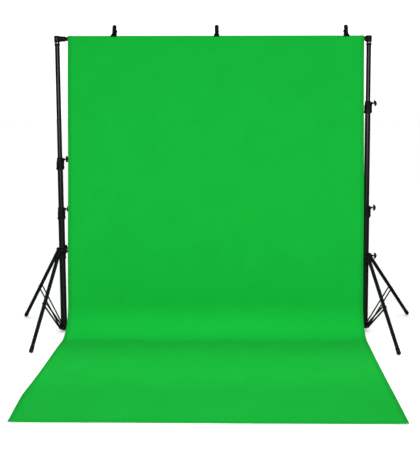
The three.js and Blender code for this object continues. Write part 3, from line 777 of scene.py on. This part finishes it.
def build_stand(side, arms, yoke_arm, turns, wings):
    """One stand. Its arms are (name, angle) pairs, and the yoke is turned to the one at yoke_arm.

    The lower and the upper collar have their turns round the column and their wings' turns.
    """
    axis_x, axis_y, yoke_z = JOINTS[f"{side}_yoke_slide"]["pos_m"]
    hub_z = JOINTS[f"{side}_{arms[0][0]}_brace_hinge"]["pos_m"][2]
    lower_z = JOINTS[f"{side}_middle_slide"]["pos_m"][2]
    upper_z = JOINTS[f"{side}_top_slide"]["pos_m"][2]

    def at(z, azimuth=0.0):
        return shift(axis_x, axis_y, z) @ turn("Z", azimuth)

    build_tubes(side, at)
    build_collar(side, "lower", "base", at(lower_z, turns[0]), LOWER_TUBE, MIDDLE_TUBE, wings[0])
    build_collar(side, "upper", f"{side}_middle_section", at(upper_z, turns[1]), MIDDLE_TUBE,
                 TOP_TUBE, wings[1])
    build_yoke(side, at(yoke_z, yoke_arm))
    stand_in(f"{side}_brace_hub", hub_shapes(), NYLON, "base", at(hub_z, yoke_arm))
    for arm, azimuth in arms:
        build_arm(side, arm, azimuth)


# ---- Crossbar and clamps ---------------------------------

BAR_LOW, BAR_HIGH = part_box("crossbar_section_2")
BAR_Y = (BAR_LOW.y + BAR_HIGH.y) / 2
BAR_Z = (BAR_LOW.z + BAR_HIGH.z) / 2
TOP_BODY = "left_top_section"


def bar_section_shapes(length, has_plug):
    """A length of bar from x = 0, with a swaged plug at its far end."""
    inner, face = BAR_R - BAR_WALL, length - GAP
    if not has_plug:
        return [(tube(BAR_R, BAR_WALL, 0, face, 64), ALONG_X)]
    end = length + PLUG_LENGTH
    profile = rounded([
        (inner, 0), (BAR_R - 0.2, 0), (BAR_R, 0.4), (BAR_R, length - 0.9), (BAR_R - 0.5, face),
        (PLUG_R, face), (PLUG_R, end - 1), (PLUG_R - 0.5, end), (PLUG_BORE, end),
        (PLUG_BORE, length - 8), (inner, length - 12), (inner, 0)], 0.3, 2)
    return [(lathe(profile, 64), ALONG_X)]


def end_fitting_shapes(mouth):
    """A boss that drops over the spigot, with a tapered socket for the bar along +X."""
    low, high, r = -19.7, 19.0, 17.5
    bore, socket_r, socket_bore = 8.4, BAR_R + 2.6, BAR_R + GAP
    boss = lathe(rounded([
        (bore, low), (r - 1, low), (r, low + 2), (r, high - 4), (r - 3, high), (0, high),
        (0, high - 3), (bore, high - 3), (bore, low)], 1.2, 3), 64)
    socket = lathe(rounded([
        (0, 10), (17, 10), (socket_r, mouth - 7), (socket_r + 1.4, mouth - 6),
        (socket_r + 1.4, mouth - 1.5), (socket_r + 0.4, mouth), (socket_bore, mouth),
        (socket_bore, 18.2), (0, 18.2)], 0.6), 56)
    cap = lathe(rounded([(0, high - 1), (10, high - 1), (9.4, high), (0, high + 0.35)], 0.3, 2), 40)
    rib_end = min(mouth - 8, 30)
    rib = rounded([(12, -16), (17.6, -15), (rib_end, -13.5), (rib_end, -10), (12, -10)],
                  1.2, 3, True)
    return [(boss, I), (socket, ALONG_X), (cap, I), (prism(rib, 4, 1.2), I)]


def build_crossbar():
    """The four lengths of bar with their snap buttons, and the fittings at both ends."""
    for i in range(1, BAR_SECTIONS + 1):
        node, has_plug = f"crossbar_section_{i}", i < BAR_SECTIONS
        low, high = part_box(node)
        length = (high.x - low.x) / MM - (PLUG_LENGTH if has_plug else -GAP)
        at = shift(low.x, BAR_Y, BAR_Z)
        stand_in(node, bar_section_shapes(length, has_plug), ANODISED, TOP_BODY, at)
        if has_plug:
            button = (dome(2.6, 1.3, BAR_R - 0.1), shift(x=length - 14) @ turn("X", 180))
            piece(f"{node}_button", [button], BRIGHT, TOP_BODY, at)
    for side, azimuth in (("left", 0), ("right", 180)):
        node, x = f"{side}_bar_end", JOINTS[f"{side}_top_slide"]["pos_m"][0]
        at = shift(x, BAR_Y, BAR_Z) @ turn("Z", azimuth)
        screw = (cross_screw_head(3.0, 1.2), turn("Z", -90) @ ALONG_X @ shift(z=17.3))
        stand_in(node, end_fitting_shapes(SOCKET_MOUTH[side]), NYLON, TOP_BODY, at)
        piece(f"{node}_screw", [screw], ZINC, TOP_BODY, at)


def clamp_arm_shapes(grip, lug_inner):
    """The arm on the +X side of a clamp, in the clamp's frame: a ribbed channel with jaw cheeks."""
    tip = CLAMP_HANDLE - 12  # where the handle's end starts to round off
    line = [(grip + 2.2, -22), (grip + 1.2, -17), (12.6, -8), (10.6, 1), (11.8, 12), (15.6, 28),
            (18.6, 42), (20.6, 52), (21.6, CLAMP_HANDLE)]
    path = [Vector((p[0], 0, p[1])) for p in smooth_path(line)]

    def half_width(z):
        if z > tip:
            return math.sqrt(max(12.2 ** 2 - (z - tip) ** 2, 6))
        return float(np.interp(z, [-24, -14, -2, 6, 26, 48], [15.6, 15.2, 12.0, 11.0, 11.6, 12.2]))

    verts = []
    for i, p in enumerate(path):
        tangent = (path[min(i + 1, len(path) - 1)] - path[max(i - 1, 0)]).normalized()
        out = Vector((tangent.z, 0, -tangent.x))
        w = half_width(p.z)
        flange = float(np.interp(p.z, [-24, -10, 10, 46, 60], [4.0, 4.5, 4.5, 3.2, 1.2]))
        back = 2.0 if 18 < p.z < 50 and int(p.z / 3.0) % 2 else 1.5  # every other 3 mm is a rib
        ring = [(-w, -flange), (-w, 0.4), (-w + 1.0, back), (w - 1.0, back), (w, 0.4),
                (w, -flange), (w - 1.6, -flange), (w - 1.6, -0.6), (-w + 1.6, -0.6),
                (-w + 1.6, -flange)]
        verts += [tuple(p + Vector((0, s, 0)) + out * u) for s, u in ring]
    shapes = [((verts, skin(len(path), len(ring))), I)]
    cheek = rounded([(grip + 0.2, -31), (grip + 3.6, -31), (grip + 5.2, -26), (grip + 4.2, -16),
                     (grip - 1, -14), (grip + 0.4, -23)], 1.4, 3, True)
    lug = rounded([(10.5, -8), (10.5, 8), (0, 6), (-5, 3), (-5, -3), (0, -6)], 3, 4, True)
    for side in (-1, 1):
        shapes += [(prism(cheek, 6.0, 1.2, side * 13.2), I),
                   (prism(lug, 3.0, 0.7, side * (lug_inner + 1.5)), I)]
    bridge = rounded([(7.6, -7), (11.8, -7), (11.8, 7), (7.6, 7)], 1.0, 2, True)
    return [*shapes, (prism(bridge, 2 * (lug_inner + 3), 0.8), I)]


def clamp_pad_shapes(grip):
    """A ridged soft pad held between the jaw's cheeks."""
    outline = [(grip + 0.3, -30)]
    for k in range(5):
        z = -29 + k * 2.6
        outline += [(grip + 0.35, z), (grip + 0.9, z + 1.3)]
    outline += [(grip + 1.4, -15.5), (grip + 3.0, -16), (grip + 3.6, -29)]
    return [(prism(outline, 19.6, 0.5), I)]


def clamp_spring_shapes():
    """A torsion spring on the pin, with the leg that presses on the front arm."""
    steps = SPRING_TURNS * 20
    coil = []
    for k in range(int(steps) + 1):
        t = k / 20 * 2 * math.pi
        y = -SPRING_HALF + 2 * SPRING_HALF * k / steps
        coil.append(Vector((SPRING_R * math.cos(t), y, SPRING_R * math.sin(t))))
    end = coil[-1]
    leg = [Vector((end.x - x, end.y, z)) for x, z in ((5.0, end.z + 4), (11.0, 18), (14.0, 30))]
    return [(sweep([*coil, *leg], circle(SPRING_WIRE)), I)]


def clamp_spring_leg_shapes():
    """The spring's other leg, which the rear arm carries round with it."""
    path = [(SPRING_R + x, -SPRING_HALF, z) for x, z in ((0, 0), (0.8, 5), (4.0, 16), (8.2, 30))]
    return [(sweep(path, circle(SPRING_WIRE)), I)]


def pin_shapes():
    """A clamp's pivot pin along Y, with a head at each end."""
    return [(lathe([(0, -16), (2, -16), (2, 16), (0, 16)], 20), ALONG_Y),
            *((dome(3.9, 1.5, 15.1), outwards(side)) for side in (-1, 1))]


def build_clamps():
    """Three spring clamps that lean to the rear, with their front arms fixed on the bar."""
    for i in (1, 2, 3):
        pivot = JOINTS[f"clamp_{i}_hinge"]["pos_m"]
        place = shift(*pivot) @ turn("X", -CLAMP_TILT) @ turn("Z", 90)
        front = place @ turn("Z", 180)
        name, moving = f"clamp_{i}", f"clamp_{i}_arm"
        stand_in(f"{name}_front_arm", clamp_arm_shapes(FRONT_GRIP, FRONT_LUGS), NYLON, TOP_BODY,
                 front)
        piece(f"{name}_front_pad", clamp_pad_shapes(FRONT_GRIP), RUBBER, TOP_BODY, front)
        stand_in(f"{name}_rear_arm", clamp_arm_shapes(REAR_GRIP, REAR_LUGS), NYLON, moving,
                 place)
        piece(f"{name}_rear_pad", clamp_pad_shapes(REAR_GRIP), RUBBER, moving, place)
        stand_in(f"{name}_pin", pin_shapes(), ZINC, TOP_BODY, place)
        piece(f"{name}_spring", clamp_spring_shapes(), ZINC, TOP_BODY, place)
        piece(f"{name}_spring_leg", clamp_spring_leg_shapes(), ZINC, moving, place)


# ---- Cloth -----------------------------------------------

CLOTH_CENTRE = 13.6  # radius of the cloth's middle surface round the bar
CLOTH_FLOOR = 1.3  # height of that surface over the floor
CREST_FOLD = 4.5  # how far the folded head of the cloth stands up off the bar
CLOTH_THICK, CLOTH_COLUMNS = 0.0016, 133  # metres at the hems, and points across
# The two edges, from the middle between the columns, at distances from the crest.
EDGE_STATIONS = [0, 600, 1220, 1700, 2150, 2750, 3110]
LEFT_EDGE = [-863, -871, -886, -893, -898, -910, -886]
RIGHT_EDGE = [901, 904, 910, 914, 911, 918, 922]


def cloth_path():
    """Down the cloth's middle, in mm: distances from the crest, (y, z) points and normals."""
    y0, z0 = BAR_Y / MM, BAR_Z / MM
    front = -CLOTH_SWEEP + y0
    lean = math.radians(CLOTH_LEAN)
    points = [(y0 + CLOTH_CENTRE, z) for z in np.linspace(z0 - CLOTH_FLAP, z0, 8)[:-1]]
    for angle in np.linspace(0, math.pi - lean, 15):
        crown = CREST_FOLD * math.sin(angle) ** 3
        points.append((y0 + CLOTH_CENTRE * math.cos(angle),
                       z0 + CLOTH_CENTRE * math.sin(angle) + crown))
    bend_z = CLOTH_FLOOR + CLOTH_BEND
    leave_y, leave_z = points[-1]
    bend_y = leave_y - (leave_z - bend_z) * math.tan(lean) - CLOTH_BEND
    for t in np.linspace(0, 1, 110)[1:-1]:
        points.append((leave_y + (bend_y + CLOTH_BEND - leave_y) * t,
                       leave_z + (bend_z - leave_z) * t))
    for angle in np.linspace(-lean, -math.pi / 2, 22):
        points.append((bend_y + CLOTH_BEND * math.cos(angle),
                       bend_z + CLOTH_BEND * math.sin(angle)))
    for t in np.linspace(0, 1, 76)[1:]:
        points.append((bend_y + (front - bend_y) * t, CLOTH_FLOOR))
    p = np.array(points)
    along = np.concatenate([[0], np.cumsum(np.hypot(*np.diff(p, axis=0).T))])
    tangent = np.gradient(p, axis=0)
    tangent /= np.hypot(*tangent.T)[:, None]
    along -= CLOTH_FLAP + CLOTH_CENTRE * math.pi / 2
    return along, p, np.stack([tangent[:, 1], -tangent[:, 0]], 1)


def cloth_edge(along, positions):
    """One edge's position at each distance, eased past its stations."""
    edge = np.interp(along, EDGE_STATIONS, positions)
    return np.convolve(np.pad(edge, 4, mode="edge"), np.ones(9) / 9, "valid")


def cloth_surface():
    """A dense grid with slack waves and curled edges.

    Gives its points, their places on the flat cloth and their distances from its edge, in mm.
    """
    along, p, normal = cloth_path()
    left, right = cloth_edge(along, LEFT_EDGE), cloth_edge(along, RIGHT_EDGE)
    width = (right - left)[:, None]
    u = np.linspace(0, 1, CLOTH_COLUMNS)
    u = u - 0.018 * np.sin(2 * math.pi * u)  # closer together towards the sides
    s, v = np.meshgrid(along, u, indexing="ij")
    edge = np.minimum(v, 1 - v) * width
    curl = np.exp(-(edge / 38.0) ** 2)
    # On the hanging part: long vertical waves.
    hang = np.clip((s - 40) / 500, 0, 1) * np.clip((1750 - s) / 260, 0, 1)
    wave = (1.9 * np.sin(2 * math.pi * (3.1 * v + 0.12 * np.sin(s / 420)) + 0.6)
            + 1.3 * np.sin(2 * math.pi * (5.3 * v - 0.1 * np.sin(s / 610)) + 2.1)
            + 0.7 * np.sin(2 * math.pi * 9.0 * v + s / 900))
    roll = curl * (2.2 + 1.6 * np.sin(s / 170 + 3 * v))
    drape = hang * (wave + 3.9 + roll)
    # On the floor: low ripples, and a front edge that lifts here and there.
    lying = np.clip((s - 1850) / 260, 0, 1)
    ripple = (1.1 + np.sin(2 * math.pi * 1.4 * v + s / 260) * 0.7
              + 0.5 * np.sin(2 * math.pi * 4.1 * v - s / 180))
    lift = lying * (np.clip(ripple, 0, 3) + curl * (1.8 + 1.6 * np.sin(s / 140)))
    front_lift = (np.clip((s - 3040) / 90, 0, 1) ** 2
                  * (1.2 + 1.2 * np.sin(2 * math.pi * 2.3 * v + 0.8)))
    # The normal points to the front on the hanging part and up on the floor.
    offset = drape + lift + front_lift
    skew = np.clip((s - 1900) / 1200, 0, 1) * (v - 0.5) * -23.0
    x = (CENTRE_X / MM + left[:, None] + width * v
         + 1.2 * (2 * v - 1) * np.sin(s / 230 + v * 4))
    y = p[:, 0:1] + normal[:, 0:1] * offset + skew
    z = p[:, 1:2] + normal[:, 1:2] * offset
    end = np.minimum(s - s.min(), s.max() - s)
    return np.stack([x, y, z], -1), np.stack([v * width, s], -1), np.minimum(edge, end)


def build_cloth():
    """The cloth's mesh, with its place on the flat cloth as UVs and its hems thickened."""
    points, flat, from_edge = cloth_surface()
    rows, across = from_edge.shape
    index = np.arange(rows * across).reshape(rows, across)
    corners = [index[:-1, :-1], index[:-1, 1:], index[1:, 1:], index[1:, :-1]]
    verts, metres = points.reshape(-1, 3) * MM, flat.reshape(-1, 2) * MM
    distance = from_edge.ravel() * MM
    mesh = bpy.data.meshes.new("backdrop_cloth_look")
    mesh.from_pydata(verts.tolist(), [], np.stack(corners, -1).reshape(-1, 4).tolist())
    layer = mesh.uv_layers.new(name="metres")
    loops = np.zeros(len(mesh.loops), np.int32)
    mesh.loops.foreach_get("vertex_index", loops)
    layer.data.foreach_set("uv", metres[loops].astype(np.float32).ravel())
    attribute = mesh.attributes.new("hem_distance", "FLOAT", "POINT")
    attribute.data.foreach_set("value", distance.astype(np.float32))
    mesh.shade_smooth()
    mesh.materials.append(green_muslin())
    cloth = add_object("backdrop_cloth_look", mesh)
    group = cloth.vertex_groups.new(name="hem")
    group.add([int(i) for i in np.flatnonzero(distance < HEM_FOLD)], 1.0, "REPLACE")
    solid = cloth.modifiers.new("thickness", "SOLIDIFY")
    solid.thickness = CLOTH_THICK
    solid.offset = 0.0
    solid.vertex_group = "hem"
    solid.thickness_vertex_group = 0.5
    solid.use_even_offset = False
    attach(cloth, "base")
    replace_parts(cloth, "backdrop_cloth")
    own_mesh(cloth)


# ---- The object ------------------------------------------

build_stand("left", (("inner", 17.0), ("rear", 137.0), ("front", 257.0)), yoke_arm=17.0,
            turns=(42.0, 42.0), wings=(20.0, 0.0))
build_stand("right", (("rear", 45.2), ("inner", 165.2), ("front", 285.2)), yoke_arm=285.2,
            turns=(0.0, -35.0), wings=(0.0, 25.0))
build_crossbar()
build_clamps()
build_cloth()


# ---- Stage -----------------------------------------------

FLOOR_HALF, FLOOR_Z = 30.0, -0.0006  # metres
SURROUND, SURROUND_REFLECTED = 1.25, 0.03  # strengths


def floor():
    """A plain pale studio floor."""
    look = Look("pale_floor", (0.9, 0.9, 0.9), 0.6, 0.0, 0.3)
    mottle = look.noise(3, 3)
    look.colour(look.mix(mottle, (0.94, 0.94, 0.94), (0.96, 0.96, 0.96)))
    half = FLOOR_HALF
    corners = [(-half, -half, 0), (half, -half, 0), (half, half, 0), (-half, half, 0)]
    mesh = bpy.data.meshes.new("floor")
    mesh.from_pydata(corners, [], [(0, 1, 2, 3)])
    mesh.materials.append(look.material)
    obj = add_object("floor", mesh)
    obj.location.z = FLOOR_Z
    obj.visible_glossy = False


def softbox(name, location, target, size, power, glossy=True, spread=180):
    """A rectangular light aimed at a target, its spread in degrees."""
    data = bpy.data.lights.new(name, "AREA")
    data.shape = "RECTANGLE"
    data.size, data.size_y = size
    data.energy = power
    data.spread = math.radians(spread)
    obj = add_object(name, data)
    obj.location = location
    aim = Vector(target) - Vector(location)
    obj.rotation_euler = aim.to_track_quat("-Z", "Y").to_euler()
    obj.visible_glossy = glossy


def world():
    """Even white surroundings, dimmer in reflections, as in a room with dark walls."""
    made = bpy.data.worlds.new("studio")
    made.use_nodes = True
    tree = made.node_tree
    background = tree.nodes["Background"]
    path = tree.nodes.new("ShaderNodeLightPath")
    strength = tree.nodes.new("ShaderNodeMapRange")
    strength.inputs["To Min"].default_value = SURROUND
    strength.inputs["To Max"].default_value = SURROUND_REFLECTED
    tree.links.new(path.outputs["Is Glossy Ray"], strength.inputs["Value"])
    tree.links.new(strength.outputs["Result"], background.inputs["Strength"])
    background.inputs["Color"].default_value = (1, 1, 1, 1)
    bpy.context.scene.world = made


def camera():
    """The main view: from the front, a little above the middle, through a long lens."""
    data = bpy.data.cameras.new("camera")
    data.sensor_width, data.lens = 36.0, 62.292
    data.shift_x, data.shift_y = -0.0609, -0.1422
    data.clip_end = 60.0
    obj = add_object("camera", data)
    pitch, yaw, roll = 5.8988, 0.189, -0.0823
    obj.matrix_world = (shift(CENTRE_X + 0.1653, BAR_Y - 4.8198, 1.5262) @ turn("Z", yaw)
                        @ turn("X", 90 - pitch) @ turn("Z", roll))
    bpy.context.scene.camera = obj


floor()
softbox("key", (0.2, -5.2, 1.5), (0.2, 0, 1.5), (2.4, 1.3), 89)
softbox("low", (0.0, -3.3, 0.35), (0, 0.45, 0.15), (2.4, 0.4), 14, glossy=False, spread=90)
softbox("sweep", (0, -0.45, 3.3), (0, -0.45, 0), (2.4, 1.0), 5.8, glossy=False, spread=50)
softbox("bend", (0, -1.6, 0.8), (0, -0.07, 0.04), (2.6, 0.1), 1.9, glossy=False, spread=20)
world()
camera()
bpy.context.scene.view_settings.view_transform = "Standard"
